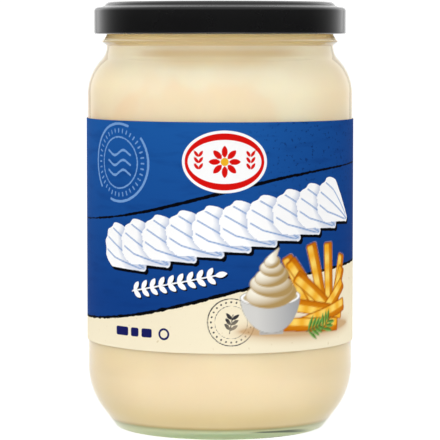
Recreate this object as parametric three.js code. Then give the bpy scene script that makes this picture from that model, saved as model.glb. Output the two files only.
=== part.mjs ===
// A shut glass jar of mayonnaise: a squat round jar with a thick rounded heel
// and a short neck, a black twist-off metal lid, a paper label wrapped once
// round the straight wall, and the filling, which reaches up into the neck.
// Every piece is a body of revolution about +Z. Millimetres, origin at the
// centre of the ring that the jar stands on, front of the label towards -Y.

import * as THREE from 'three';

// Driving dimensions of the glass, from the ground up
const BODY_RADIUS = 44.45;
const WALL = 2.6;
const FOOT_RING_RADIUS = 34.6;
const FOOT_RING_WIDTH = 3.4;
const PUSH_UP_HEIGHT = 4.0;
const HEEL_TOP_Z = 20.6;
const HEEL_ARC_RADIUS = 24.5;
const HEEL_ARC_ANGLE = THREE.MathUtils.degToRad(36.5);
const HEEL_CORNER_RADIUS = 1.0;
const BASE_THICKNESS = 4.0;
const FLOOR_RISE = 3.2;
const INNER_HEEL_RADIUS = 2.6;
const SHOULDER_START_Z = 111.4;
const SHOULDER_ARC_RADIUS = 17.3;
const SHOULDER_ANGLE = THREE.MathUtils.degToRad(43.7);
const NECK_FILLET_RADIUS = 6.0;
const BEAD_BOTTOM_Z = 127.9;
const BEAD_CREST_Z = 129.2;
const BEAD_CREST_ROUND = 0.5;
const BEAD_TOP_Z = 131.1;
const BEAD_HEIGHT = 1.5;
const RIM_Z = 141.1;
const RIM_ROUND = 1.1;

// The filling
const FILL_GAP = 0.3;
const FILL_LEVEL_Z = 133.6;

// The lid
const LID_BOTTOM_Z = 131.6;
const LID_TOP_Z = 142.3;
const LID_RADIUS = 42.1;
const LID_SHEET = 0.4;
const LID_CURL_RADIUS = 0.6;
const LID_SHOULDER_Z = 140.5;
const LID_SHOULDER_ROUND = 1.3;
const LID_RING_FOOT_RADIUS = 40.0;
const LID_RING_TOP_RADIUS = 36.6;
const LID_RING_ROUND = 2.2;
const LID_RING_FOOT_ANGLE = THREE.MathUtils.degToRad(25);
const LID_PANEL_RADIUS = 33.0;
const LID_PANEL_DROP = 0.8;
const LID_BUTTON_RADIUS = 12.0;
const LID_BUTTON_RISE = 0.4;

// The label
const LABEL_BOTTOM_Z = 29.5;
const LABEL_TOP_Z = 103.6;
const LABEL_GAP = 0.12;
const LABEL_THICKNESS = 0.2;

// Fineness of the surfaces
const SEGMENTS_ROUND = 60;
const ARC_TOLERANCE = 0.08;

/** A point of a profile: distance from the axis and height. */
function at(radius, z) {
  return new THREE.Vector2(radius, z);
}

/**
 * Points along an arc about centre, from one angle to another, both included,
 * as many as keep the chords within a tolerance of the arc.
 */
function arc(centre, radius, fromAngle, toAngle) {
  const widestStep = 2 * Math.acos(1 - ARC_TOLERANCE / radius);
  const steps = Math.max(2, Math.ceil(Math.abs(toAngle - fromAngle) / widestStep));
  const points = [];
  for (let step = 0; step <= steps; step += 1) {
    const angle = THREE.MathUtils.lerp(fromAngle, toAngle, step / steps);
    points.push(at(centre.x + radius * Math.cos(angle), centre.y + radius * Math.sin(angle)));
  }
  return points;
}

/** Leaves out points that lie on the one before. */
function withoutRepeats(points) {
  const kept = [points[0]];
  for (const point of points) {
    if (point.distanceTo(kept[kept.length - 1]) > 1e-3) kept.push(point);
  }
  return kept;
}

/** Turns a profile, whose solid side is on its left, about +Z into a mesh. */
function turned(name, profile, material) {
  const geometry = new THREE.LatheGeometry(withoutRepeats(profile), SEGMENTS_ROUND);
  geometry.rotateX(Math.PI / 2);
  const mesh = new THREE.Mesh(geometry, material);
  mesh.name = name;
  return mesh;
}

/** Outer face of the glass, from the foot ring up to the rim. */
function glassOutside() {
  const heelCentre = at(BODY_RADIUS - HEEL_ARC_RADIUS, HEEL_TOP_Z);
  const cornerCentre = at(FOOT_RING_RADIUS, HEEL_CORNER_RADIUS);
  const shoulderCentre = at(BODY_RADIUS - SHOULDER_ARC_RADIUS, SHOULDER_START_Z);
  const shoulder = arc(shoulderCentre, SHOULDER_ARC_RADIUS, 0, SHOULDER_ANGLE);
  const shoulderEnd = shoulder[shoulder.length - 1];
  const filletCentre = at(
    shoulderEnd.x + NECK_FILLET_RADIUS * Math.cos(SHOULDER_ANGLE),
    shoulderEnd.y + NECK_FILLET_RADIUS * Math.sin(SHOULDER_ANGLE),
  );
  const neckRadius = filletCentre.x - NECK_FILLET_RADIUS;
  const crestCentre = at(neckRadius + BEAD_HEIGHT - BEAD_CREST_ROUND, BEAD_CREST_Z);
  const rimCentre = at(neckRadius - RIM_ROUND, RIM_Z - RIM_ROUND);
  return [
    ...arc(cornerCentre, HEEL_CORNER_RADIUS, -Math.PI / 2, -HEEL_ARC_ANGLE),
    ...arc(heelCentre, HEEL_ARC_RADIUS, -HEEL_ARC_ANGLE, 0),
    ...shoulder,
    ...arc(filletCentre, NECK_FILLET_RADIUS, Math.PI + SHOULDER_ANGLE, Math.PI),
    at(neckRadius, BEAD_BOTTOM_Z),
    ...arc(crestCentre, BEAD_CREST_ROUND, -Math.PI / 4, Math.PI / 4),
    at(neckRadius, BEAD_TOP_Z),
    ...arc(rimCentre, RIM_ROUND, 0, Math.PI / 2),
  ];
}

/**
 * Inner face of the glass, from the centre of the floor up to a height,
 * moved inwards by a gap. The wall has one thickness from heel to rim.
 */
function cavity(gap, topZ) {
  const inset = WALL + gap;
  const wallRadius = BODY_RADIUS - inset;
  const floorEdgeZ = BASE_THICKNESS + gap;
  const floorZ = floorEdgeZ + FLOOR_RISE;
  const heelRadius = HEEL_ARC_RADIUS - inset;
  const heelCentre = at(wallRadius - heelRadius, HEEL_TOP_Z);
  const slopeEnd = at(
    heelCentre.x + heelRadius * Math.cos(HEEL_ARC_ANGLE),
    heelCentre.y - heelRadius * Math.sin(HEEL_ARC_ANGLE),
  );
  const cornerCentreZ = floorEdgeZ + INNER_HEEL_RADIUS;
  const slideDown = (slopeEnd.y - cornerCentreZ + INNER_HEEL_RADIUS * Math.sin(HEEL_ARC_ANGLE))
    / Math.cos(HEEL_ARC_ANGLE);
  const cornerCentre = at(
    slopeEnd.x - slideDown * Math.sin(HEEL_ARC_ANGLE)
      - INNER_HEEL_RADIUS * Math.cos(HEEL_ARC_ANGLE),
    cornerCentreZ,
  );
  const shoulderRadius = SHOULDER_ARC_RADIUS - inset;
  const shoulderCentre = at(wallRadius - shoulderRadius, SHOULDER_START_Z);
  const shoulder = arc(shoulderCentre, shoulderRadius, 0, SHOULDER_ANGLE);
  const shoulderEnd = shoulder[shoulder.length - 1];
  const filletRadius = NECK_FILLET_RADIUS + inset;
  const filletCentre = at(
    shoulderEnd.x + filletRadius * Math.cos(SHOULDER_ANGLE),
    shoulderEnd.y + filletRadius * Math.sin(SHOULDER_ANGLE),
  );
  return [
    at(0, floorZ),
    ...domeDown(floorZ, floorEdgeZ, cornerCentre.x),
    ...arc(cornerCentre, INNER_HEEL_RADIUS, -Math.PI / 2, -HEEL_ARC_ANGLE),
    ...arc(heelCentre, heelRadius, -HEEL_ARC_ANGLE, 0),
    ...shoulder,
    ...arc(filletCentre, filletRadius, Math.PI + SHOULDER_ANGLE, Math.PI),
    at(filletCentre.x - filletRadius, topZ),
  ];
}

/** A shallow dome from its crown on the axis down to its edge, as a cosine. */
function domeDown(crownZ, edgeZ, edgeRadius) {
  const steps = 4;
  const points = [];
  for (let step = 1; step <= steps; step += 1) {
    const part = step / steps;
    const height = (1 + Math.cos(Math.PI * part)) / 2;
    points.push(at(edgeRadius * part, edgeZ + (crownZ - edgeZ) * height));
  }
  return points;
}

/** The jar: one closed wall, with a push-up under the base. */
function glassJar() {
  const ringInnerRadius = FOOT_RING_RADIUS - FOOT_RING_WIDTH;
  const inside = cavity(0, RIM_Z - RIM_ROUND);
  const mouth = inside[inside.length - 1];
  const rimCentre = at(mouth.x + RIM_ROUND, RIM_Z - RIM_ROUND);
  const profile = [
    at(0, PUSH_UP_HEIGHT),
    ...domeDown(PUSH_UP_HEIGHT, 0, ringInnerRadius),
    ...glassOutside(),
    ...arc(rimCentre, RIM_ROUND, Math.PI / 2, Math.PI),
    ...inside.reverse(),
  ];
  const material = new THREE.MeshStandardMaterial({
    color: 0xc9d6b8, roughness: 0.05, metalness: 0, transparent: true, opacity: 0.35,
  });
  return turned('glass_jar', profile, material);
}

/** The filling, level on top. */
function mayonnaise() {
  const sides = cavity(FILL_GAP, FILL_LEVEL_Z);
  const profile = [...sides, at(0, FILL_LEVEL_Z)];
  const material = new THREE.MeshStandardMaterial({ color: 0xf6e6c6, roughness: 0.4, metalness: 0 });
  return turned('mayonnaise', profile, material);
}

/** Outer face of the lid, from the curl at its edge up to the axis. */
function lidOutside() {
  const shoulderCentre = at(LID_RADIUS - LID_SHOULDER_ROUND, LID_SHOULDER_Z - LID_SHOULDER_ROUND);
  const ringCentre = at(LID_RING_TOP_RADIUS, LID_TOP_Z - LID_RING_ROUND);
  const panelZ = LID_TOP_Z - LID_PANEL_DROP;
  const buttonZ = panelZ + LID_BUTTON_RISE;
  return [
    ...arc(shoulderCentre, LID_SHOULDER_ROUND, 0, Math.PI / 2),
    at(LID_RING_FOOT_RADIUS, LID_SHOULDER_Z),
    ...arc(ringCentre, LID_RING_ROUND, LID_RING_FOOT_ANGLE, Math.PI / 2),
    at(LID_PANEL_RADIUS + LID_PANEL_DROP, LID_TOP_Z),
    at(LID_PANEL_RADIUS, panelZ),
    at(LID_BUTTON_RADIUS + LID_BUTTON_RISE, panelZ),
    at(LID_BUTTON_RADIUS, buttonZ),
    at(0, buttonZ),
  ];
}

/** Inner face of the lid, from the axis out and down to the curl: the outer one, one sheet in. */
function lidInside() {
  const underZ = LID_TOP_Z - LID_SHEET;
  const panelUnderZ = underZ - LID_PANEL_DROP;
  const shoulderUnderZ = LID_SHOULDER_Z - LID_SHEET;
  const ringCentre = at(LID_RING_TOP_RADIUS, LID_TOP_Z - LID_RING_ROUND);
  const skirtRound = LID_SHOULDER_ROUND - LID_SHEET;
  const shoulderCentre = at(LID_RADIUS - LID_SHOULDER_ROUND, LID_SHOULDER_Z - LID_SHOULDER_ROUND);
  return [
    at(0, panelUnderZ),
    at(LID_PANEL_RADIUS + LID_SHEET / 2, panelUnderZ),
    at(LID_PANEL_RADIUS + LID_SHEET / 2 + LID_PANEL_DROP, underZ),
    ...arc(ringCentre, LID_RING_ROUND - LID_SHEET, Math.PI / 2, LID_RING_FOOT_ANGLE),
    at(LID_RING_FOOT_RADIUS - LID_SHEET / 2, shoulderUnderZ),
    ...arc(shoulderCentre, skirtRound, Math.PI / 2, 0),
  ];
}

/** The lid: a drawn sheet cap whose edge is rolled inwards. */
function lid() {
  const curlCentre = at(LID_RADIUS - LID_CURL_RADIUS, LID_BOTTOM_Z + LID_CURL_RADIUS);
  const closing = Math.asin((LID_CURL_RADIUS - LID_SHEET) / LID_CURL_RADIUS);
  const profile = [
    ...arc(curlCentre, LID_CURL_RADIUS, -3 * Math.PI / 2 + closing, 0),
    ...lidOutside(),
    ...lidInside(),
  ];
  const curlTop = profile[0];
  profile.push(at(LID_RADIUS - LID_SHEET, curlTop.y + LID_SHEET), curlTop.clone());
  const material = new THREE.MeshStandardMaterial({ color: 0x141414, roughness: 0.3, metalness: 0.2 });
  return turned('lid', profile, material);
}

/** The label: a thin sleeve of paper on the straight wall. */
function label() {
  const inner = BODY_RADIUS + LABEL_GAP;
  const outer = inner + LABEL_THICKNESS;
  const profile = [
    at(inner, LABEL_BOTTOM_Z),
    at(outer, LABEL_BOTTOM_Z),
    at(outer, LABEL_TOP_Z),
    at(inner, LABEL_TOP_Z),
    at(inner, LABEL_BOTTOM_Z),
  ];
  const material = new THREE.MeshStandardMaterial({ color: 0x1a4f9c, roughness: 0.45, metalness: 0 });
  return turned('label', profile, material);
}

const jar = new THREE.Group();
jar.add(glassJar(), mayonnaise(), label(), lid());

export default jar;
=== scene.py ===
import math

import bpy
import numpy as np
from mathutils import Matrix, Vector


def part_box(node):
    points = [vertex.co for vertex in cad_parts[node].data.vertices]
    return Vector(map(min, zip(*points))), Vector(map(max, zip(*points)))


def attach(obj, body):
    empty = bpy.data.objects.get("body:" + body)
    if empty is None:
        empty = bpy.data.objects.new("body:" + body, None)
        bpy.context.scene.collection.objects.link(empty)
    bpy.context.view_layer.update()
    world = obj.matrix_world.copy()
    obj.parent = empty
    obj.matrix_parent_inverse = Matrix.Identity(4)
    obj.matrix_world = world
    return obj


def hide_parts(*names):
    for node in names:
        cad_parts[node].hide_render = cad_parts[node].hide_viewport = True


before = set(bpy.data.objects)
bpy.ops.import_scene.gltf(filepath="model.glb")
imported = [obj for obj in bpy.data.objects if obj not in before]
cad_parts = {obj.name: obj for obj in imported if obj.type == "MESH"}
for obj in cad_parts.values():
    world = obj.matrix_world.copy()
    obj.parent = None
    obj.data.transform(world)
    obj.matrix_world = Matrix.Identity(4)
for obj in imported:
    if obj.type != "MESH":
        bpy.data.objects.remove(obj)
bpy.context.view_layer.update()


# The jar: clear glass with a faint green cast, pressed and blown in a mould. Its wall is one
# smooth skin, from the knurled ring that it stands on, round a fat heel and up a straight wall
# to a short neck with a bead. The edge of the lid comes down to that bead.

mm = 0.001
jar_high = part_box("glass_jar")[1]
body_radius = jar_high.x
rim_height = jar_high.z
wall = 2.6 * mm
foot_ring_radius = 34.6 * mm
foot_ring_width = 3.4 * mm
push_up_height = 4.0 * mm
heel_top = 20.6 * mm
heel_arc = 24.5 * mm
heel_slope = 36.5
heel_corner = 1.0 * mm
base_thickness = 4.0 * mm
floor_rise = 3.2 * mm
inner_heel_arc = 2.6 * mm
shoulder_start = 111.4 * mm
shoulder_arc = 17.3 * mm
shoulder_slope = 43.7
neck_fillet = 6.0 * mm
bead_bottom = 127.9 * mm
bead_crest = 129.2 * mm
bead_crest_arc = 0.5 * mm
bead_top = 131.1 * mm
bead_height = 1.5 * mm
bead_foot = 0.1 * mm
bead_run_out = 0.2 * mm
rim_arc = 1.1 * mm
knurls = 116
knurl_depth = 0.22 * mm
points_around = 4 * knurls


def arc(centre, radius, start, end, points):
    """A round stretch of a profile: centre + radius (cos a, sin a), with a even from start to end
    in degrees."""
    angle = np.radians(np.linspace(start, end, points))
    return np.asarray(centre) + radius * np.stack([np.cos(angle), np.sin(angle)], axis=1)


def dome(edge_height, crown_height, edge_radius, points=16):
    """A shallow dome from the axis out: edge + (crown - edge) (1 + cos(pi r / edge radius)) / 2."""
    radius = np.linspace(0, edge_radius, points)
    rise = (1 + np.cos(math.pi * radius / edge_radius)) / 2
    return np.stack([radius, edge_height + (crown_height - edge_height) * rise], axis=1)


def straight(start, end, points=2):
    """A straight stretch of a profile, its points even from start to end."""
    return np.linspace(start, end, points)


def direction(degrees):
    """The unit vector (cos a, sin a)."""
    return np.array([math.cos(math.radians(degrees)), math.sin(math.radians(degrees))])


def build(name, points, faces):
    """A smooth piece from points and faces. Edges that turn by more than 50 degrees stay sharp."""
    mesh = bpy.data.meshes.new(name)
    mesh.from_pydata(points, [], faces)
    mesh.shade_smooth()
    mesh.set_sharp_from_angle(angle=math.radians(50))
    piece = bpy.data.objects.new(name, mesh)
    bpy.context.collection.objects.link(piece)
    return piece


def turned(name, stretches, around=points_around):
    """A closed body of revolution: (radius, height) goes to (r cos a, r sin a, h) for a all the way
    round. The profile starts and ends on the axis, and each of these ends is one point."""
    profile = np.vstack(stretches)
    apart = np.linalg.norm(np.diff(profile, axis=0), axis=1) > 0.001 * mm
    profile = profile[np.r_[True, apart]]
    radius, height = profile[1:-1, :1], profile[1:-1, 1:]
    angle = np.linspace(0, 2 * math.pi, around, endpoint=False)
    rings = np.stack([radius * np.cos(angle), radius * np.sin(angle), height + 0 * angle], axis=-1)
    poles = np.array([[0, 0, profile[0, 1]], [0, 0, profile[-1, 1]]])
    points = np.vstack([rings.reshape(-1, 3), poles])
    first, last = len(points) - 2, len(points) - 1
    here = np.arange(first).reshape(-1, around)
    turn = np.roll(here, -1, axis=1)
    faces = np.stack([here[:-1], turn[:-1], turn[1:], here[1:]], axis=-1).reshape(-1, 4).tolist()
    faces += np.stack([turn[0], here[0], np.full(around, first)], axis=1).tolist()
    faces += np.stack([here[-1], turn[-1], np.full(around, last)], axis=1).tolist()
    return build(name, points, faces)


def put_in_place(piece, node, slot, *materials):
    """Puts a finished piece in its node's place and gives it its materials."""
    for material in materials:
        piece.data.materials.append(material)
    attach(piece, "root")
    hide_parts(node)


def arc_centres():
    """The centres of the heel's arc, the shoulder's arc and the fillet into the neck."""
    heel = np.array([body_radius - heel_arc, heel_top])
    shoulder = np.array([body_radius - shoulder_arc, shoulder_start])
    fillet = shoulder + (shoulder_arc + neck_fillet) * direction(shoulder_slope)
    return heel, shoulder, fillet


def outer_wall():
    """The outside of the glass: foot, heel arc, straight wall, shoulder arc, neck fillet, bead, rim."""
    foot_centre = (foot_ring_radius, heel_corner)
    heel_centre, shoulder_centre, fillet_centre = arc_centres()
    neck = fillet_centre[0] - neck_fillet
    crest_centre = (neck + bead_height - bead_crest_arc, bead_crest)
    rim_centre = (neck - rim_arc, rim_height - rim_arc)
    return [
        arc(foot_centre, heel_corner, -90, -heel_slope, 10),
        arc(heel_centre, heel_arc, -heel_slope, 0, 28),
        arc(shoulder_centre, shoulder_arc, 0, shoulder_slope, 24),
        arc(fillet_centre, neck_fillet, 180 + shoulder_slope, 180, 14),
        straight((neck, bead_bottom - bead_run_out), (neck + bead_foot, bead_bottom)),
        arc(crest_centre, bead_crest_arc, -55, 40, 9),
        straight((neck + bead_foot, bead_top - bead_foot), (neck, bead_top + bead_run_out)),
        arc(rim_centre, rim_arc, 0, 90, 10),
    ]


def inner_wall(inset, top):
    """The inside of the glass, from the middle of its floor up to a height, inset from the outside.
    It runs parallel to the outside, with a rounder corner between floor and heel."""
    floor_edge = base_thickness + inset - wall
    heel_centre, shoulder_centre, fillet_centre = arc_centres()
    heel, fillet = heel_arc - inset, neck_fillet + inset
    slope_end = heel_centre + heel * direction(-heel_slope)
    corner_height = floor_edge + inner_heel_arc
    slope_normal = direction(-heel_slope)
    along_slope = direction(-90 - heel_slope)
    slide = (slope_end[1] - corner_height - inner_heel_arc * slope_normal[1]) / -along_slope[1]
    corner_centre = slope_end + slide * along_slope - inner_heel_arc * slope_normal
    return [
        dome(floor_edge, floor_edge + floor_rise, corner_centre[0]),
        arc(corner_centre, inner_heel_arc, -90, -heel_slope, 14),
        arc(heel_centre, heel, -heel_slope, 0, 20),
        arc(shoulder_centre, shoulder_arc - inset, 0, shoulder_slope, 18),
        arc(fillet_centre, fillet, 180 + shoulder_slope, 180, 14),
        [(fillet_centre[0] - fillet, top)],
    ]


def glass_profile():
    """Under the base, up the outside, over the rim and down the inside, back to the axis."""
    ring_inside = foot_ring_radius - foot_ring_width
    under = dome(0, push_up_height, ring_inside)
    ring = straight((ring_inside, 0), (foot_ring_radius, 0), 7)
    inside = np.vstack(inner_wall(wall, rim_height - rim_arc))
    rim_inside = (inside[-1, 0] + rim_arc, rim_height - rim_arc)
    return [under, ring, *outer_wall(), arc(rim_inside, rim_arc, 90, 180, 10), inside[::-1]]


def knurl_foot_ring(piece):
    """Cuts short grooves across the ring: its points rise by depth (1 + cos(knurls a)) / 2, most in
    the middle of the ring's width and not at all at its edges."""
    mesh = piece.data
    points = np.empty(3 * len(mesh.vertices), np.float32)
    mesh.vertices.foreach_get("co", points)
    points = points.reshape(-1, 3)
    radius = np.hypot(points[:, 0], points[:, 1])
    across = (foot_ring_radius - radius) / foot_ring_width
    on_ring = points[:, 2] < 0.01 * mm
    groove = np.sin(math.pi * np.clip(across, 0, 1)) * on_ring
    angle = np.arctan2(points[:, 1], points[:, 0])
    points[:, 2] += knurl_depth * groove * (1 + np.cos(knurls * angle)) / 2
    mesh.vertices.foreach_set("co", points.ravel())


def new_material(name):
    """A fresh material, its node tree and its Principled shader."""
    material = bpy.data.materials.new(name)
    material.use_nodes = True
    tree = material.node_tree
    return material, tree, tree.nodes["Principled BSDF"]


def clear_glass():
    """Clear pressed glass: thin walls look clear, long ways through it turn green. Light from lamps
    goes straight through it, a little tinted."""
    material, tree, shader = new_material("clear glass")
    shader.inputs["Base Color"].default_value = (0.985, 0.995, 0.98, 1)
    shader.inputs["Roughness"].default_value = 0.015
    shader.inputs["IOR"].default_value = 1.52
    shader.inputs["Transmission Weight"].default_value = 1
    depth = tree.nodes.new("ShaderNodeVolumeAbsorption")
    depth.inputs["Color"].default_value = (0.2, 0.79, 0.54, 1)
    depth.inputs["Density"].default_value = 10
    tree.links.new(depth.outputs["Volume"], tree.nodes["Material Output"].inputs["Volume"])
    passing = tree.nodes.new("ShaderNodeBsdfTransparent")
    passing.inputs["Color"].default_value = (0.97, 0.98, 0.965, 1)
    path = tree.nodes.new("ShaderNodeLightPath")
    mix = tree.nodes.new("ShaderNodeMixShader")
    tree.links.new(path.outputs["Is Shadow Ray"], mix.inputs["Fac"])
    tree.links.new(shader.outputs["BSDF"], mix.inputs[1])
    tree.links.new(passing.outputs["BSDF"], mix.inputs[2])
    tree.links.new(mix.outputs["Shader"], tree.nodes["Material Output"].inputs["Surface"])
    return material


glass = turned("jar_glass", glass_profile())
knurl_foot_ring(glass)
put_in_place(glass, "glass_jar", "clear_glass", clear_glass())


# The mayonnaise: a thick pale cream paste, filled hot and smooth to the wall, so it takes the
# shape of the inside. It stands up into the neck, where the lid hides its level. It is made to
# reach a hair into the glass, so that no air shows between the two.

into_the_wall = 0.08 * mm
fill_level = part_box("mayonnaise")[1].z
top_edge = 1 * mm
# Painted shade: where the tan shade at the front of the neck and shoulder lies and fades.
front_shade_middle = 8 * mm
front_shade_edge = 26 * mm
front_shade_wider_in_neck = 7 * mm
front_shade_swing = 9 * mm
# Painted shade on the sides: where it starts and where it is full.
side_shade_start = 20 * mm
side_shade_end = 42 * mm
# Painted green light on the underside of the filling: where it lies and how far out it runs.
underside_radius = 34.7 * mm
underside_top = 12 * mm
green_light_radius = 36 * mm
# Painted shade streak on the underside: its radii and its reach across.
shade_streak_radius = (21 * mm, 24 * mm, 28 * mm, 31 * mm)
shade_streak_across = (8 * mm, 13 * mm, 20 * mm, 27 * mm)


def mayonnaise_profile():
    """Along the inside of the glass, and back to the axis over a level top with a round edge."""
    sides = inner_wall(wall - into_the_wall, fill_level - top_edge)
    edge = np.vstack(sides)[-1]
    top = straight((edge[0] - top_edge, fill_level), (0, fill_level), 8)
    return [*sides, arc(edge - (top_edge, 0), top_edge, 0, 90, 6), top]


def parts_of(tree, place):
    """The x, y and z of a place."""
    node = tree.nodes.new("ShaderNodeSeparateXYZ")
    tree.links.new(place, node.inputs["Vector"])
    return node.outputs


def noise(tree, place, scale, detail):
    """Soft noise of 0 to 1 over the places."""
    node = tree.nodes.new("ShaderNodeTexNoise")
    node.inputs["Scale"].default_value = scale
    node.inputs["Detail"].default_value = detail
    tree.links.new(place, node.inputs["Vector"])
    return node.outputs["Fac"]


def ramp(tree, value, stops):
    """A colour that changes with a value: its stops are (value, colour), blended evenly between."""
    node = tree.nodes.new("ShaderNodeValToRGB")
    elements = node.color_ramp.elements
    for element, (position, colour) in zip(elements, (stops[0], stops[-1])):
        element.position = position
        element.color = (*colour, 1)
    for position, colour in stops[1:-1]:
        elements.new(position).color = (*colour, 1)
    tree.links.new(value, node.inputs["Fac"])
    return node.outputs["Color"]


def fit_range(tree, value, start, end, low, high, step="SMOOTHSTEP"):
    """A value carried from start..end to low..high by a smooth step or an even one, and kept inside."""
    node = tree.nodes.new("ShaderNodeMapRange")
    node.interpolation_type = step
    for name, number in (("From Min", start), ("From Max", end), ("To Min", low), ("To Max", high)):
        node.inputs[name].default_value = number
    tree.links.new(value, node.inputs["Value"])
    return node.outputs["Result"]


def calculate(tree, operation, *values):
    """One calculation on values, each a number or another node's output."""
    node = tree.nodes.new("ShaderNodeMath")
    node.operation = operation
    for socket, value in zip(node.inputs, values):
        if isinstance(value, bpy.types.NodeSocket):
            tree.links.new(value, socket)
        else:
            socket.default_value = value
    return node.outputs["Value"]


def mixed(tree, kind, factor, first, second):
    """Two colours mixed: a blend or a product, by a factor."""
    node = tree.nodes.new("ShaderNodeMix")
    node.data_type = "RGBA"
    node.blend_type = kind
    for name, value in (("Factor", factor), ("A", first), ("B", second)):
        if isinstance(value, bpy.types.NodeSocket):
            tree.links.new(value, node.inputs[name])
        else:
            node.inputs[name].default_value = (*value, 1)
    return node.outputs[2]


def painted_shade_by_height(tree, tone, across, level, clouds):
    """Paints shade into the filling by its level, its height over the height of the fill:
    darker, yellower painted shade at the foot of the heel and behind the bead, and tan painted
    shade in the neck and shoulder at the front, whose edge wanders with the clouds."""
    # Painted shade by level: dark yellow at the foot of the heel, tan in the neck and behind the bead.
    shade_tint = ramp(tree, level, (
        (0.03, (0.55, 0.46, 0.2)), (0.038, (0.84, 0.81, 0.64)), (0.06, (0.888, 0.86, 0.68)),
        (0.09, (0.94, 0.935, 0.885)), (0.115, (0.955, 0.955, 0.93)), (0.15, (0.975, 0.972, 0.97)),
        (0.19, (1, 1, 0.98)), (0.8, (0.98, 1, 1)), (0.84, (0.98, 0.99, 0.99)),
        (0.872, (0.965, 0.965, 0.965)), (0.89, (0.935, 0.94, 0.95)), (0.903, (0.895, 0.86, 0.8)),
        (0.912, (0.905, 0.815, 0.705)), (0.922, (0.856, 0.785, 0.67)), (0.927, (0.77, 0.672, 0.54)),
        (0.933, (0.735, 0.622, 0.467)), (0.94, (0.735, 0.608, 0.468)), (0.95, (0.785, 0.716, 0.651)),
        (0.957, (0.787, 0.715, 0.664)), (0.964, (0.735, 0.57, 0.385)), (0.97, (0.76, 0.65, 0.46)),
        (0.976, (0.87, 0.69, 0.4)), (0.986, (0.98, 0.86, 0.62)),
    ))
    swing = calculate(tree, "MULTIPLY_ADD", clouds, 2 * front_shade_swing, -front_shade_swing)
    aside = calculate(tree, "ADD", calculate(tree, "ABSOLUTE", across), swing)
    wider = fit_range(tree, level, 0.918, 0.93, 0.0, front_shade_wider_in_neck)
    aside = calculate(tree, "SUBTRACT", aside, wider)
    # The tan painted shade lies at the front. Low down and behind the bead it goes all round.
    shade_at_front = fit_range(tree, aside, front_shade_middle, front_shade_edge, 1.0, 0.08)
    shade_low_down = fit_range(tree, level, 0.3, 0.5, 1.0, 0.0)
    shade_behind_bead = fit_range(tree, level, 0.955, 0.965, 0.0, 1.0)
    shade_all_round = calculate(tree, "ADD", shade_low_down, shade_behind_bead)
    return mixed(tree, "MULTIPLY", calculate(tree, "MAXIMUM", shade_at_front, shade_all_round), tone, shade_tint)


def plateau(tree, value, start, full, fading, end):
    """A mask that rises smoothly from start to full and falls again from fading to end."""
    rising = fit_range(tree, value, start, full, 0.0, 1.0)
    return calculate(tree, "MULTIPLY", rising, fit_range(tree, value, fading, end, 1.0, 0.0))


def painted_light_through_base(tree, tone, across, depth, height):
    """Paints the underside green, as if lit through the thick base, greener and darker to its edge.
    To the right of the front it gets a painted dark streak, for the shade under the jar."""
    squares = calculate(tree, "POWER", across, 2), calculate(tree, "POWER", depth, 2)
    radius = calculate(tree, "SQRT", calculate(tree, "ADD", *squares))
    low = fit_range(tree, height, underside_top, underside_top + 8 * mm, 1.0, 0.0)
    inside = fit_range(tree, radius, underside_radius - mm / 2, underside_radius + mm / 2, 1.0, 0.0)
    # Painted light: green as if seen through the thick base, darker towards the edge.
    green = ramp(tree, calculate(tree, "DIVIDE", radius, green_light_radius), (
        (0.76, (0.92, 0.87, 0.56)), (0.88, (0.75, 0.72, 0.43)), (0.95, (0.5, 0.46, 0.2)),
    ))
    tone = mixed(tree, "MIX", calculate(tree, "MULTIPLY", low, inside), tone, green)
    # Painted shade: a dark streak low on the underside, to the right of the front.
    streak = calculate(tree, "MULTIPLY", low, fit_range(tree, depth, -10 * mm, -5 * mm, 1.0, 0.0))
    for value, limits in ((radius, shade_streak_radius), (across, shade_streak_across)):
        streak = calculate(tree, "MULTIPLY", streak, plateau(tree, value, *limits))
    return mixed(tree, "MIX", streak, tone, (0.05, 0.065, 0.0))


def painted_side_shade(tree, tone, across, level):
    """Painted shade: the left and right sides are a little darker and warmer than the front."""
    share = fit_range(tree, calculate(tree, "ABSOLUTE", across), side_shade_start, side_shade_end, 0.0, 1.0)
    # Painted side shade by level, darkest and warmest low down.
    shade_tint = ramp(tree, level, (
        (0.08, (0.804, 0.787, 0.69)), (0.12, (0.845, 0.82, 0.73)), (0.15, (0.86, 0.85, 0.775)),
        (0.2, (0.965, 0.955, 0.9)), (0.7, (0.965, 0.88, 0.795)), (0.86, (0.935, 0.855, 0.77)),
    ))
    return mixed(tree, "MULTIPLY", share, tone, shade_tint)


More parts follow.
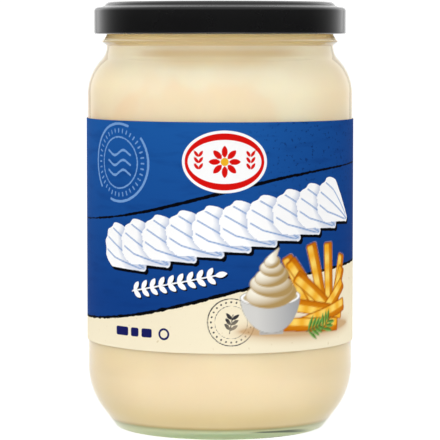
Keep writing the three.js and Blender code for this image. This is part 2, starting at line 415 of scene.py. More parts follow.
def cream_paste():
    """Mayonnaise: pale cream that light enters a little way, with wide soft clouds of tone, and
    paler up the jar. Painted shade darkens its neck, shoulder, heel and sides, and its underside
    has painted green light and a painted dark streak."""
    material, tree, shader = new_material("mayonnaise paste")
    place = tree.nodes.new("ShaderNodeTexCoord").outputs["Object"]
    across, depth, height = parts_of(tree, place)
    clouds = noise(tree, place, 24, 3)
    soft_clouds = calculate(tree, "MULTIPLY_ADD", clouds, 0.5, 0.25)
    tone = ramp(tree, calculate(tree, "MULTIPLY_ADD", height, 4.0, soft_clouds), (
        (0.57, (0.91, 0.72, 0.5)), (0.62, (0.935, 0.745, 0.515)), (0.75, (0.935, 0.745, 0.515)),
        (0.92, (0.937, 0.745, 0.548)), (0.945, (0.943, 0.808, 0.63)),
        (0.99, (0.96, 0.85, 0.67)),
    ))
    level = calculate(tree, "DIVIDE", height, fill_level)
    tone = painted_shade_by_height(tree, tone, across, level, clouds)
    tone = painted_light_through_base(tree, tone, across, depth, height)
    tone = painted_side_shade(tree, tone, across, level)
    tree.links.new(tone, shader.inputs["Base Color"])
    shader.inputs["Roughness"].default_value = 0.5
    shader.inputs["Specular IOR Level"].default_value = 0.1
    shader.inputs["Subsurface Weight"].default_value = 0.35
    shader.inputs["Subsurface Radius"].default_value = (1, 0.8, 0.5)
    shader.inputs["Subsurface Scale"].default_value = 2.5 * mm
    return material


filling = turned("mayonnaise_filling", mayonnaise_profile(), 240)
put_in_place(filling, "mayonnaise", "mayonnaise", cream_paste())


# The lid: a twist-off cap drawn from thin steel sheet and lacquered black. Its rim is rolled
# inwards, the skirt is plain, and the top has a raised ring over the jar's rim round a sunk
# panel with a low button.

lid_low, lid_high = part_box("lid")
lid_radius = lid_high.x
lid_bottom = lid_low.z
lid_top = lid_high.z
lid_sheet = 0.4 * mm
lid_curl = 0.6 * mm
lid_shoulder = 140.5 * mm
lid_shoulder_arc = 1.3 * mm
lid_ring_foot = 40.0 * mm
lid_ring_top = 36.6 * mm
lid_ring_arc = 2.2 * mm
lid_ring_foot_angle = 25
lid_ledge = 0.5 * mm
lid_panel_radius = 33.0 * mm
lid_panel_drop = 0.8 * mm
lid_button_radius = 12.0 * mm
lid_button_rise = 0.4 * mm
lid_step = 1.2 * mm


def soft_step(start, end, points=12):
    """A smooth S from start to end: the height follows (1 - cos(pi t)) / 2, the radius runs evenly."""
    part = np.linspace(0, 1, points)
    rise = (1 - np.cos(math.pi * part)) / 2
    radius = start[0] + (end[0] - start[0]) * part
    return np.stack([radius, start[1] + (end[1] - start[1]) * rise], axis=1)


def lid_top_face(sink):
    """The top of the lid from the skirt to the axis, sunk by a thickness for its underside."""
    shoulder_centre = (lid_radius - lid_shoulder_arc, lid_shoulder - lid_shoulder_arc)
    ring_centre = (lid_ring_top, lid_top - lid_ring_arc)
    ledge = lid_shoulder - sink
    panel = lid_top - lid_panel_drop - sink
    button = panel + lid_button_rise
    return [
        arc(shoulder_centre, lid_shoulder_arc - sink, 0, 90, 10),
        straight((lid_ring_foot + lid_ledge, ledge), (lid_ring_foot, ledge)),
        arc(ring_centre, lid_ring_arc - sink, lid_ring_foot_angle, 90, 12),
        soft_step((lid_panel_radius + lid_step, lid_top - sink), (lid_panel_radius, panel)),
        soft_step((lid_button_radius + lid_step, panel), (lid_button_radius, button)),
        straight((lid_button_radius / 2, button), (0, button)),
    ]


def lid_profile():
    """From the axis out under the top, down inside the skirt, round the rolled rim, up the outside
    and over the top, back to the axis."""
    curl_centre = np.array([lid_radius - lid_curl, lid_bottom + lid_curl])
    curl = arc(curl_centre, lid_curl, -250, 0, 26)
    under = np.vstack(lid_top_face(lid_sheet))[::-1]
    skirt_inside = straight((lid_radius - lid_sheet, curl[0, 1] + lid_sheet), curl[0], 3)
    return [under, skirt_inside, curl, *lid_top_face(0)]


def fine_bump(tree, shader, height, strength):
    """Bumps the surface by a height of 0 to 1 that stands for 0.05 mm, at some strength."""
    bump = tree.nodes.new("ShaderNodeBump")
    bump.inputs["Strength"].default_value = strength
    bump.inputs["Distance"].default_value = 0.05 * mm
    tree.links.new(height, bump.inputs["Height"])
    tree.links.new(bump.outputs["Normal"], shader.inputs["Normal"])


def black_lacquer():
    """Black lacquer baked on steel: smooth, with the faintest orange peel, a little duller in
    patches."""
    material, tree, shader = new_material("black lacquer")
    shader.inputs["Base Color"].default_value = (0.0015, 0.0015, 0.0018, 1)
    shader.inputs["Coat Weight"].default_value = 0.7
    shader.inputs["Coat Roughness"].default_value = 0.12
    place = tree.nodes.new("ShaderNodeTexCoord").outputs["Object"]
    fine_bump(tree, shader, noise(tree, place, 900, 2), 0.05)
    dull = fit_range(tree, noise(tree, place, 60, 5), 0.0, 1.0, 0.22, 0.34, "LINEAR")
    tree.links.new(dull, shader.inputs["Roughness"])
    return material


lid = turned("lid_cap", lid_profile(), 320)
put_in_place(lid, "lid", "black_lacquered_steel", black_lacquer())


# The label: coated paper, printed, cut to a strip and glued once round the straight wall, with
# its far end lapped over its near end at the back of the jar.

label_low, label_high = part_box("label")
paper = 0.16 * mm
paper_radius = label_high.x - 0.02 * mm
lap = 7 * mm
askew = 0.003
printed_half = 68 * mm
fine_step = 0.38 * mm
coarse_step = 1.6 * mm
lift_start = 3 * mm
lift_end = 1 * mm


def strip_columns():
    """Places along the strip, measured from the middle of the front: close together where the front
    is printed, wide apart at the back."""
    half = math.pi * paper_radius + lap / 2
    side = np.arange(printed_half, half, coarse_step)
    side = np.append(side[:-1], half)
    middle = np.arange(-printed_half, printed_half, fine_step)
    return np.concatenate([-side[::-1], middle[1:], side])


def strip_point(along, height, depth):
    """Wraps (along, height) round the jar: angle = along / radius, from the front. The radius grows
    by 1.1 papers where the end laps over, and shrinks by depth inside the paper. The strip is glued
    a hair askew, so it sinks by askew times x."""
    end = math.pi * paper_radius - lap / 2
    lifted = np.clip((along - end + lift_start) / (lift_start - lift_end), 0, 1)
    radius = paper_radius + 1.1 * paper * lifted ** 2 * (3 - 2 * lifted) - depth
    angle = along / paper_radius
    x = radius * np.sin(angle)
    return np.stack([x, -radius * np.cos(angle), height - askew * x], axis=-1)


def label_strip():
    """A closed sheet of paper: a fine outer face, and one row of tall faces inside. Gives the piece
    and its points' places (along, up) on the flat paper in mm."""
    rows = round((label_high.z - label_low.z) / fine_step)
    across, up = np.meshgrid(strip_columns(), np.linspace(label_low.z, label_high.z, rows + 1))
    edges = [0, -1]
    outer = strip_point(across, up, 0).reshape(-1, 3)
    inner = strip_point(across[edges], up[edges], paper).reshape(-1, 3)
    face = np.arange(len(outer)).reshape(across.shape)
    back = np.arange(len(inner)).reshape(2, -1) + len(outer)

    def band(low, high):
        return np.stack([low[:-1], low[1:], high[1:], high[:-1]], axis=-1)

    printed = np.concatenate([band(low, high) for low, high in zip(face[:-1], face[1:])])
    plain = np.concatenate([band(back[0], face[0]), band(face[-1], back[1]), band(back[1], back[0])])
    near_end = [*face[:, 0].tolist(), int(back[1, 0]), int(back[0, 0])]
    far_end = [*face[::-1, -1].tolist(), int(back[0, -1]), int(back[1, -1])]
    faces = printed.tolist() + plain.tolist() + [near_end, far_end]
    piece = build("label_paper", np.vstack([outer, inner]), faces)
    bare = np.zeros(len(faces), np.int32)
    bare[len(printed):] = 1
    piece.data.polygons.foreach_set("material_index", bare)
    places = np.stack([across, up], axis=-1)
    return piece, np.vstack([places.reshape(-1, 2), places[edges].reshape(-1, 2)]) / mm


# The label's print: a blue field over a cream one, parted by a torn black edge that rises to the
# right, with a torn line above it. On them lie a row of piped shells over a leafy garland, an oval
# badge, two round stamps, a few bars and a small picture of chips with a bowl of mayonnaise. Each
# printed shape is a distance in mm from its edge, below zero inside, kept on the paper's points.

torn_edge_height = 46.8
torn_line_height = 79.6
badge_middle = (1.5, 91.0)
badge_heart_radius = 1.3
wave_stamp_middle = (-36.8, 90.0)
sprig_stamp_middle = (3.6, 39.6)
bowl_middle = (17.0, 47.4)
navy_height = 35.3


def linear(red, green, blue):
    """A printer's colour of 0 to 255 a channel as light: ((c / 255 + 0.055) / 1.055) ^ 2.4."""
    return ((np.array([red, green, blue]) / 255 + 0.055) / 1.055) ** 2.4


def about(u, v, middle, turn):
    """The places (u, v) as seen from a middle turned by some degrees."""
    across, up = u - middle[0], v - middle[1]
    cosine, sine = direction(turn)
    return across * cosine + up * sine, up * cosine - across * sine


def bar(u, v, middle, length, width, turn, corner):
    """Distance to a bar with round corners: how far p is past its half size less the corner, less
    the corner."""
    across, up = about(u, v, middle, turn)
    past = np.abs(across) - length / 2 + corner, np.abs(up) - width / 2 + corner
    outside = np.hypot(np.maximum(past[0], 0), np.maximum(past[1], 0))
    return outside + np.minimum(np.maximum(*past), 0) - corner


def oval(u, v, middle, half_length, half_width, turn=0.0):
    """Distance to an oval, near its edge: k (k - 1) / |gradient of k|, where k is the length of p
    over its half sizes."""
    across, up = about(u, v, middle, turn)
    scaled = np.hypot(across / half_length, up / half_width)
    slope = np.hypot(across / half_length ** 2, up / half_width ** 2)
    return scaled * (scaled - 1) / np.maximum(slope, 1e-6)


def ring(u, v, middle, radius, width):
    """Distance to a thin ring: |distance from the middle - radius| - width / 2."""
    return np.abs(np.hypot(u - middle[0], v - middle[1]) - radius) - width / 2


def leaf(u, v, root, length, width, turn):
    """Distance to a pointed leaf: two round sides that meet at its root and tip."""
    across, up = about(u, v, root, turn)
    across = across - length / 2
    bow = (length ** 2 / 4 - width ** 2 / 4) / width
    return np.hypot(across, np.abs(up) + bow) - (bow + width / 2)


def rise(u):
    """How far the torn edges stand above their middle height: a soft step up to the right, fading
    out again towards the back of the jar."""
    fade = np.clip((140 - np.abs(u)) / 60, 0, 1)
    return 10.2 * np.tanh((u + 5) / 38) * fade * fade * (3 - 2 * fade)


def torn_line(u, v, middle_height, width, ends):
    """Distance to a torn line along the rise, thickest at the front and thinning to its ends."""
    thick = ends + (width - ends) * np.exp(-(u / 45) ** 2)
    return np.abs(v - middle_height - rise(u)) - thick / 2


def tapered(u, v, start, end, start_radius, end_radius):
    """A rod that tapers from start to end: the distance to its skin, |p - (start + t (end - start))|
    less the radius at t, and how far each place lies to its side in parts of that radius."""
    reach = np.subtract(end, start)
    length = np.hypot(*reach)
    across, up = u - start[0], v - start[1]
    along = (across * reach[0] + up * reach[1]) / length
    aside = (up * reach[0] - across * reach[1]) / length
    part = np.clip(along / length, 0, 1)
    radius = start_radius + (end_radius - start_radius) * part
    return np.hypot(aside, along - part * length) - radius, aside / radius, radius


def piped_shells(u, v):
    """A row of piped shells that rises to the right, each head laid over the tail before it. Gives
    the distances to the whole row, to the grooves of the shells and to the shell that lies over
    each place."""
    row, grooves, above = np.full_like(u, 1e3), np.full_like(u, 1e3), np.full_like(u, 1e3)
    for number in range(10):
        head = np.array([-37.2 + 8.8 * number, 62.6 + 1.66 * number])
        tail = head + (11.0, -5.6)
        shell, aside, radius = tapered(u, (v - head[1]) * 0.9 + head[1], head, tail, 7.2, 1.2)
        shell = shell + 0.3 * (1 + np.cos(4 * math.pi * aside)) * np.clip(radius / 7.2, 0, 1)
        grooves = np.maximum(grooves, -shell)
        for place_aside in (-0.5, 0, 0.5):
            line = np.abs(aside - place_aside) * radius - 0.24
            grooves = np.minimum(grooves, np.maximum(line, shell + 0.6))
        above = np.where(shell < 0, 1e3, np.minimum(above, shell))
        row = np.minimum(row, shell)
    return row, grooves, above


def oval_badge(u, v, middle):
    """The badge: its plate, and the ring, rosette and sprigs printed on it."""
    plate = oval(u, v, middle, 13.8, 10.0)
    marks = np.maximum(oval(u, v, middle, 12.9, 9.1), -oval(u, v, middle, 11.9, 7.0))
    for number in range(8):
        turn = 45.0 * number
        root = np.array(middle) + badge_heart_radius * direction(turn)
        marks = np.minimum(marks, leaf(u, v, root, 3.9, 1.9, turn))
    for side in (-1, 1):
        for number in range(3):
            root = (middle[0] + side * 8.4, middle[1] - 2.5 + 2.0 * number)
            for lean in (-35, 35):
                marks = np.minimum(marks, leaf(u, v, root, 2.6, 1.0, 90 + lean))
    return plate, marks


def wave_stamp(u, v, middle):
    """The large pale stamp: a broken outer ring, a row of ticks, a thin ring and waves in it."""
    across, up = u - middle[0], v - middle[1]
    turn = np.degrees(np.arctan2(up, across))
    gap = 9 * np.sin(np.radians(14 - np.abs(np.abs(turn + 35) - 90)))
    marks = np.maximum(ring(u, v, middle, 12.6, 0.8), gap)
    marks = np.minimum(marks, ring(u, v, middle, 8.3, 0.5))
    for number in range(36):
        tick = 10.0 * number
        spot = np.array(middle) + 10.4 * direction(tick)
        marks = np.minimum(marks, bar(u, v, spot, 1.6, 0.5, tick, 0.2))
    for number in range(3):
        swing = 0.9 * np.sin(across / 1.35)
        line = np.abs(up - 3.2 * (number - 1) - swing) - 0.4
        marks = np.minimum(marks, np.maximum(line, np.abs(across) - 5.6))
    return marks


def sprig_stamp(u, v, middle):
    """The small dark stamp: two thin rings, dots between them and a sprig in the middle."""
    marks = np.minimum(ring(u, v, middle, 7.6, 0.4), ring(u, v, middle, 5.3, 0.25))
    for number in range(24):
        spot = np.array(middle) + 6.5 * direction(15.0 * number)
        marks = np.minimum(marks, ring(u, v, spot, 0.0, 0.7))
    marks = np.minimum(marks, bar(u, v, (middle[0], middle[1] - 0.6), 6.4, 0.35, 80, 0.1))
    for number in range(3):
        root = (middle[0] - 0.3 + 0.25 * number, middle[1] - 2.6 + 1.7 * number)
        for turn in (35, 130):
            marks = np.minimum(marks, leaf(u, v, root, 3.0, 1.1, turn))
    return marks


def garland(u, v):
    """The small white garland under the shells, which rises with them: a stem and pairs of leaves."""
    slope, start = 11.5, np.array([-31.0, 48.6])
    marks = bar(u, v, start + 15.5 * direction(slope), 31, 0.45, slope, 0.2)
    for number in range(9):
        joint = start + (1.0 + 3.3 * number) * direction(slope)
        for lean in (48, -48):
            marks = np.minimum(marks, leaf(u, v, joint, 3.6, 1.7, slope + lean))
    return np.minimum(marks, leaf(u, v, start + 30 * direction(slope), 4.0, 1.9, slope))


def navy_marks(u, v):
    """The small navy bars and ring at the foot of the label."""
    marks = ring(u, v, (-18.6, navy_height), 1.6, 0.7)
    for across, length in ((-35.4, 5.6), (-29.8, 3.2), (-25.0, 4.0)):
        marks = np.minimum(marks, bar(u, v, (across, navy_height), length, 2.9, 0, 0.6))
    return marks


def lay(picture, distance, colour, edge=0.4):
    """Lays a colour over the picture inside a distance, with a soft edge, and marks it as covered.
    Where the picture is still bare the colour is taken whole, so that no pale fringe is left."""
    cover = np.clip(0.5 - distance / edge, 0, 1)[:, None]
    share = np.where((picture[:, 3:] == 0) & (cover > 0), 1, cover)
    picture[:, :3] += share * (colour - picture[:, :3])
    picture[:, 3:] = np.maximum(picture[:, 3:], cover)


def shade(first, second, part):
    """A blend of two colours, point by point: first + (second - first) part."""
    return first + (second - first) * np.clip(part, 0, 1)[:, None]


def lay_chip(picture, u, v, middle, length, width, turn):
    """One chip: a brown edge, a golden side and a paler face lit from above, browned at its ends."""
    across, up = about(u, v, middle, turn)
    browned = np.clip((np.abs(across) - length / 2 + 2.6) / 2.6, 0, 1) * 0.6
    body = bar(u, v, middle, length, width, turn, 0.8)
    lay(picture, body - 0.15, linear(168, 88, 10))
    side = shade(linear(236, 158, 26), linear(196, 108, 10), 0.5 - up / width + browned)
    lay(picture, body + 0.2, side)
    face_middle = np.array(middle) + 0.17 * width * direction(turn + 90)
    face = bar(u, v, face_middle, length - 1.2, 0.5 * width, turn, 0.6)
    glow = 0.55 + 0.45 * np.sin(across * 1.1 + 2 * middle[0]) - browned
    lay(picture, face, shade(linear(244, 176, 42), linear(255, 216, 104), glow))


def lay_dome(picture, u, v, middle, half_length, half_width, turn, dark, bright):
    """An oval shaded as a smooth dome with the normal (x, y, sqrt(1 - x x - y y)): its tone goes
    from dark to bright with the normal's share towards a light at the upper left."""
    across, up = about(u, v, middle, turn)
    x, y = across / half_length, up / half_width
    facing = np.sqrt(np.clip(1 - x * x - y * y, 0, 1))
    lit = -0.42 * x + 0.6 * y + 0.68 * facing
    lay(picture, oval(u, v, middle, half_length, half_width, turn), shade(dark, bright, lit))


def lay_sprig(picture, u, v, root, turn, leaves):
    """A sprig of narrow green leaves, in pairs along a stem."""
    stem = np.array(root) + 0.75 * leaves * direction(turn)
    lay(picture, bar(u, v, stem, 1.5 * leaves + 2, 0.5, turn, 0.2), linear(110, 96, 48))
    for number in range(leaves):
        joint = np.array(root) + 1.5 * number * direction(turn)
        for side in (-1, 1):
            lean = turn + side * (52 - 6 * number)
            blade = leaf(u, v, joint, 5.2 - 0.5 * number, 1.3, lean)
            _, up = about(u, v, joint, lean)
            lay(picture, blade, shade(linear(40, 96, 30), linear(122, 176, 84), 0.5 + up * side))


def lay_bowl(picture, u, v, middle):
    """A small white bowl heaped with a swirl of mayonnaise, turn over turn up to a bent tip."""
    below = np.where(v < middle[1], 0, 1e3)
    across = (u - middle[0]) / 10.6
    round_side = shade(linear(255, 255, 253), linear(166, 172, 184), 0.32 + 0.68 * across)
    belly = np.maximum(oval(u, v, (middle[0], middle[1] + 0.6), 10.4, 12.0), below)
    foot = bar(u, v, (middle[0], middle[1] - 11.2), 8.4, 1.6, 0, 0.5)
    lay(picture, foot, linear(176, 174, 172))
    lay(picture, belly - 0.2, linear(150, 146, 138))
    lay(picture, belly, round_side)
    lay(picture, oval(u, v, middle, 10.7, 2.9), linear(150, 146, 138))
    lay(picture, oval(u, v, middle, 10.4, 2.7), linear(255, 255, 255))
    lay(picture, oval(u, v, middle, 9.5, 2.1), linear(190, 170, 126))
    bright, dark = linear(255, 251, 236), linear(176, 146, 92)
    for half, lift, turn in (
            (8.8, 1.0, 4), (7.5, 3.9, -6), (5.9, 6.7, 7), (4.2, 9.2, -7), (2.7, 11.4, 8)):
        spot = (middle[0] + 0.2, middle[1] + lift)
        lay(picture, oval(u, v, spot, half + 0.15, 0.4 * half + 1.0, turn), linear(188, 160, 108))
        lay_dome(picture, u, v, spot, half, 0.4 * half + 0.85, turn, dark, bright)
    tip_foot, tip_end = (middle[0], middle[1] + 12.4), (middle[0] + 2.4, middle[1] + 15.6)
    tip, _, _ = tapered(u, v, tip_foot, tip_end, 1.5, 0.25)
    lay(picture, tip, shade(bright, dark, (u - middle[0]) / 4))


def serving_picture(u, v):
    """The small picture: a heap of golden chips that leans on a bowl of mayonnaise, and a sprig."""
    picture = np.empty((len(u), 4))
    picture[:, :3] = linear(243, 232, 203)
    haze = np.clip(0.5 - oval(u, v, (30, 36.6), 25, 3.6) / 5, 0, 0.85)
    picture[:, :3] = shade(picture[:, :3], linear(186, 136, 76), haze)
    picture[:, 3] = haze
    chips = (
        ((46.5, 50.0), 20, 4.2, 74), ((27.0, 51.5), 20, 4.2, 118), ((35.5, 52.5), 24, 4.4, 106),
        ((41.0, 52.0), 24, 4.4, 92), ((31.0, 49.5), 24, 4.4, 128), ((45.0, 46.5), 20, 4.3, 62),
        ((36.0, 46.5), 25, 4.4, 143), ((41.5, 43.5), 22, 4.4, 38), ((36.5, 42.5), 26, 4.3, 170),
        ((39.0, 40.5), 25, 4.4, 12), ((33.5, 37.6), 26, 4.4, -4),
    )
    for middle, length, width, turn in chips:
        lay_chip(picture, u, v, middle, length, width, turn)
    lay_bowl(picture, u, v, bowl_middle)
    lay_sprig(picture, u, v, (31.0, 35.8), 14, 4)
    lay_sprig(picture, u, v, (38.0, 36.0), 40, 3)
    return picture


def print_on(piece, flat):
    """Works out every printed shape on the paper's points, and gives the paper a flat map in
    tenths of a metre."""
    mesh = piece.data
    u, v = flat[:, 0], flat[:, 1]
    shells, grooves, above = piped_shells(u, v)
    shadow, _, _ = piped_shells(u - 0.9, v + 1.0)
    plate, badge_marks = oval_badge(u, v, badge_middle)
    shapes = {
        "cream field": v - torn_edge_height - rise(u),
        "torn edge": torn_line(u, v, torn_edge_height, 1.15, 0.7),
        "torn line": torn_line(u, v, torn_line_height, 1.2, 0.3),
        "shells": shells,
        "shell shadow": shadow,
        "shell grooves": grooves,
        "shell above": above,
        "badge plate": plate,
        "badge marks": badge_marks,
        "badge heart": ring(u, v, badge_middle, 0.0, 2 * badge_heart_radius),
        "wave stamp": wave_stamp(u, v, wave_stamp_middle),
        "sprig stamp": sprig_stamp(u, v, sprig_stamp_middle),
        "garland": garland(u, v),
        "garland shadow": garland(u - 0.45, v + 0.45),
        "navy marks": navy_marks(u, v),
    }
    for name, distance in shapes.items():
        kept = mesh.attributes.new(name, "FLOAT", "POINT")
        kept.data.foreach_set("value", distance.astype(np.float32))
    picture = mesh.attributes.new("picture", "FLOAT_COLOR", "POINT")
    picture.data.foreach_set("color", serving_picture(u, v).astype(np.float32).ravel())
    corners = np.empty(len(mesh.loops), np.int32)
    mesh.loops.foreach_get("vertex_index", corners)
    paper_map = mesh.uv_layers.new(name="paper")
    paper_map.data.foreach_set("uv", (flat[corners] / 100).astype(np.float32).ravel())


def printed_edge_group():
    """Turns a distance into a mask: 1 inside, 0 outside, with a worn edge. The noise of the press
    shifts the edge by up to half of Wear millimetres, and Softness is how wide the edge fades."""
    group = bpy.data.node_groups.new("Printed edge", "ShaderNodeTree")
    for name in ("Distance", "Wear", "Grain", "Softness"):
        group.interface.new_socket(name, in_out="INPUT", socket_type="NodeSocketFloat")
    group.interface.new_socket("Place", in_out="INPUT", socket_type="NodeSocketVector")
    group.interface.new_socket("Mask", in_out="OUTPUT", socket_type="NodeSocketFloat")
    given = group.nodes.new("NodeGroupInput").outputs
    result = group.nodes.new("NodeGroupOutput").inputs
    press = noise(group, given["Place"], 1, 4)
    press.node.inputs["Roughness"].default_value = 0.65
    group.links.new(given["Grain"], press.node.inputs["Scale"])
    swing = calculate(group, "SUBTRACT", press, 0.5)
    shifted = calculate(group, "MULTIPLY_ADD", swing, given["Wear"], given["Distance"])
    faded = calculate(group, "DIVIDE", shifted, given["Softness"])
    mask = calculate(group, "SUBTRACT", 0.5, faded)
    mask.node.use_clamp = True
    group.links.new(mask, result["Mask"])
    return group


class Print:
    """A stack of inks on one material: each ink covers the last inside its mask."""

    def __init__(self, tree, colour):
        self.tree = tree
        self.edge = printed_edge_group()
        self.place = tree.nodes.new("ShaderNodeUVMap").outputs["UV"]
        self.place.node.uv_map = "paper"
        self.colour = colour

    def shape(self, name, wear=0.15, grain=120, softness=0.16):
        """The mask of one printed shape."""
        distance = self.tree.nodes.new("ShaderNodeAttribute")
        distance.attribute_name = name
        edge = self.tree.nodes.new("ShaderNodeGroup")
        edge.node_tree = self.edge
        self.tree.links.new(distance.outputs["Fac"], edge.inputs["Distance"])
        self.tree.links.new(self.place, edge.inputs["Place"])
        for setting, value in (("Wear", wear), ("Grain", grain), ("Softness", softness)):
            edge.inputs[setting].default_value = value
        return edge.outputs["Mask"]

    def between(self, value, low, high, most=1.0):
        """A mask that goes evenly from 0 at low to most at high."""
        return fit_range(self.tree, value, low, high, 0.0, most, "LINEAR")

    def both(self, first, second):
        """The mask where two masks meet: their product."""
        return calculate(self.tree, "MULTIPLY", first, second)

    def ink(self, mask, *colour):
        """Covers what is printed so far with a printer's colour, inside a mask."""
        self.colour = mixed(self.tree, "MIX", mask, self.colour, linear(*colour))


def print_blue(inks):
    """The blue field: darker down the label and to the right, with long faint streaks, and with
    dark specks at the upper right."""
    along, up, _ = parts_of(inks.tree, inks.place)
    inks.ink(inks.between(up, 1.0, 0.45, 0.75), 13, 50, 121)
    to_the_right = inks.between(along, 0.1, 0.6, 0.6)
    inks.ink(inks.both(to_the_right, inks.between(along, 1.3, 0.8)), 9, 46, 116)
    stretched = inks.tree.nodes.new("ShaderNodeMapping")
    stretched.inputs["Scale"].default_value = (1, 5, 1)
    inks.tree.links.new(inks.place, stretched.inputs["Vector"])
    streaks = noise(inks.tree, stretched.outputs["Vector"], 7, 4)
    inks.ink(inks.between(streaks, 0.5, 0.75, 0.35), 14, 48, 112)
    specks = inks.between(noise(inks.tree, inks.place, 75, 2), 0.6, 0.68, 0.6)
    upper_right = inks.both(inks.between(along, 0.0, 0.25), inks.between(up, 0.72, 0.9))
    inks.ink(inks.both(specks, upper_right), 14, 40, 92)


def print_shapes(inks):
    """The printed shapes, in the order in which they lie over each other."""
    inks.ink(inks.shape("torn line", 0.9, 45), 8, 9, 16)
    inks.ink(inks.shape("wave stamp", 0.45), 118, 160, 214)
    cream = inks.shape("cream field", 0.3, 45)
    inks.ink(cream, 243, 232, 203)
    crumbs = inks.between(noise(inks.tree, inks.place, 60, 2), 0.68, 0.74, 0.5)
    inks.ink(inks.both(crumbs, cream), 206, 186, 140)
    inks.ink(inks.shape("torn edge", 1.1, 40), 8, 9, 12)
    inks.ink(inks.shape("shell shadow", 0.5, 60), 7, 9, 16)
    shells = inks.shape("shells", 0.4, 60)
    inks.ink(shells, 254, 254, 254)
    inks.ink(inks.both(inks.shape("shell above", 0.2, 60, 5.0), shells), 96, 132, 190)
    inks.ink(inks.shape("shell grooves", 0.15, 120, 0.3), 128, 160, 208)
    inks.ink(inks.shape("badge plate", 0.0), 252, 252, 252)
    inks.ink(inks.shape("badge marks", 0.0), 216, 20, 16)
    inks.ink(inks.shape("badge heart", 0.0), 240, 180, 40)
    inks.ink(inks.shape("sprig stamp", 0.25), 58, 56, 58)
    inks.ink(inks.shape("garland shadow", 0.3, 60), 7, 9, 16)
    inks.ink(inks.shape("garland", 0.2), 254, 254, 254)
    inks.ink(inks.shape("navy marks", 0.1), 26, 30, 92)


def printed_paper():
    """The print on satin coated paper with a faint tooth. The small picture lies over all inks."""
    material, tree, shader = new_material("printed paper")
    inks = Print(tree, linear(28, 88, 163))
    print_blue(inks)
    print_shapes(inks)
    picture = tree.nodes.new("ShaderNodeAttribute")
    picture.attribute_name = "picture"
    face = mixed(tree, "MIX", picture.outputs["Alpha"], inks.colour, picture.outputs["Color"])
    tree.links.new(face, shader.inputs["Base Color"])
    shader.inputs["Roughness"].default_value = 0.6
    shader.inputs["Specular IOR Level"].default_value = 0.01
    fine_bump(tree, shader, noise(tree, inks.place, 260, 4), 0.15)
    return material


def bare_paper():
    """The paper's cut edges and its glued back, off-white and a little fibrous."""
    material, tree, shader = new_material("bare paper")
    place = tree.nodes.new("ShaderNodeTexCoord").outputs["Object"]
    tones = ramp(tree, noise(tree, place, 1500, 2), ((0.0, (0.42, 0.4, 0.36)), (1.0, (0.6, 0.58, 0.53))))
    tree.links.new(tones, shader.inputs["Base Color"])
    shader.inputs["Roughness"].default_value = 0.8
    return material


label, flat_places = label_strip()
print_on(label, flat_places)
put_in_place(label, "label", "printed_paper", printed_paper(), bare_paper())


# The studio: a pale sweep under and behind the jar that glows like a light table, a wide soft lamp
# on each side of the camera, and the camera 0.82 m away, at the height of the lid's edge.

sweep_front = -0.5
sweep_back = 0.75
sweep_turn = 0.5
sweep_height = 1.2
sweep_half_width = 0.6
glow_distance = 0.637
glow_middle = 0.88
glow_sides = 0.15
glow_start = 0.14
glow_end = 0.38
lamp_aside = 1.0
lamp_in_front = 0.72
lamp_height = 0.16
lamp_size = (0.8, 0.7)
lamp_aim = (0, 0, 0.07)
camera_distance = 823.3 * mm
camera_height = 131.84 * mm
camera_tilt = 0.0761
focal_length_px = 2449
photo_px = 440


def light_table():
    """White paper lit from behind: its glow falls from the middle to the sides by a smooth step of
    |x| / (y + glow distance)."""
    material, tree, shader = new_material("studio paper")
    across, depth, _ = parts_of(tree, tree.nodes.new("ShaderNodeTexCoord").outputs["Object"])
    away = calculate(tree, "ADD", depth, glow_distance)
    spread = calculate(tree, "DIVIDE", calculate(tree, "ABSOLUTE", across), away)
    glow = fit_range(tree, spread, glow_start, glow_end, glow_middle, glow_sides)
    tree.links.new(glow, shader.inputs["Emission Strength"])
    shader.inputs["Emission Color"].default_value = (1, 1, 1, 1)
    shader.inputs["Base Color"].default_value = (0.35, 0.35, 0.35, 1)
    shader.inputs["Roughness"].default_value = 0.9
    shader.inputs["Specular IOR Level"].default_value = 0.0
    return material


def sweep():
    """A floor that turns up into a wall: a straight run, a quarter circle and a straight rise,
    carried across the room."""
    floor = straight((sweep_front, 0), (sweep_back, 0), 30)
    turn = arc((sweep_back, sweep_turn), sweep_turn, -90, 0, 40)
    run = np.vstack([floor, turn, straight(turn[-1], (sweep_back + sweep_turn, sweep_height))])
    across, depth = np.meshgrid((-sweep_half_width, sweep_half_width), run[:, 0])
    points = np.stack([across, depth, np.repeat(run[:, 1:], 2, axis=1)], axis=-1).reshape(-1, 3)
    grid = np.arange(len(points)).reshape(-1, 2)
    faces = np.stack([grid[:-1, 0], grid[:-1, 1], grid[1:, 1], grid[1:, 0]], axis=1).tolist()
    backdrop = build("studio_sweep", points, faces)
    backdrop.data.materials.append(light_table())


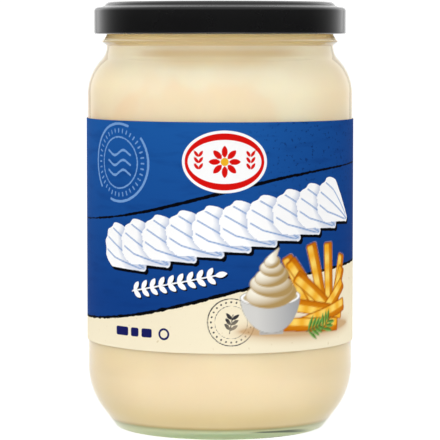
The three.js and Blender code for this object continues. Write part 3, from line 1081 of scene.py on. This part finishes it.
def lamp(name, side, watts):
    """A soft rectangular lamp to one side of the camera, faced to the middle of the jar. Filters on
    lamp and lens keep its reflection out of the picture, so gloss doesn't see it."""
    light = bpy.data.lights.new(name, "AREA")
    light.shape = "RECTANGLE"
    light.size, light.size_y = lamp_size
    light.energy = watts
    holder = bpy.data.objects.new(name, light)
    place_at = (side * lamp_aside, -lamp_in_front, lamp_height)
    away = np.subtract(place_at, lamp_aim)
    yaw = math.atan2(away[0], -away[1])
    pitch = math.atan2(np.hypot(away[0], away[1]), away[2])
    holder.rotation_euler = (pitch, 0, yaw)
    holder.location = place_at
    holder.visible_glossy = False
    bpy.context.collection.objects.link(holder)


def room_light():
    """A white room, dim in front, where the camera is, and bright behind and above. For a unit
    direction (x, y, z) its light is 0.06 + min(0.2 y + 1.6 y ^ 4, 1) + 0.6 z, y and z not below 0."""
    world = bpy.data.worlds.new("room")
    world.use_nodes = True
    tree = world.node_tree
    tree.nodes["Background"].inputs["Color"].default_value = (1, 1, 1, 1)
    facing = parts_of(tree, tree.nodes.new("ShaderNodeTexCoord").outputs["Generated"])
    y = calculate(tree, "MAXIMUM", facing["Y"], 0.0)
    z = calculate(tree, "MAXIMUM", facing["Z"], 0.0)
    steep = calculate(tree, "MULTIPLY", calculate(tree, "POWER", y, 4), 1.6)
    rising = calculate(tree, "MULTIPLY_ADD", y, 0.2, steep)
    behind = calculate(tree, "MINIMUM", rising, 1.0)
    above = calculate(tree, "MULTIPLY_ADD", z, 0.6, 0.06)
    light = calculate(tree, "ADD", behind, above)
    tree.links.new(light, tree.nodes["Background"].inputs["Strength"])
    bpy.context.scene.world = world


def camera():
    """The camera of the photograph: its height, distance, tilt and focal length."""
    lens = bpy.data.cameras.new("camera")
    lens.sensor_width = 36
    lens.lens = focal_length_px / photo_px * lens.sensor_width
    lens.clip_start = 0.05
    holder = bpy.data.objects.new("camera", lens)
    holder.location = (0, -camera_distance, camera_height)
    holder.rotation_euler = (math.pi / 2 - camera_tilt, 0, 0)
    bpy.context.collection.objects.link(holder)
    bpy.context.scene.camera = holder


sweep()
lamp("left", -1, 8.6)
lamp("right", 1, 7.8)
room_light()
camera()
bpy.context.scene.view_settings.view_transform = "Standard"
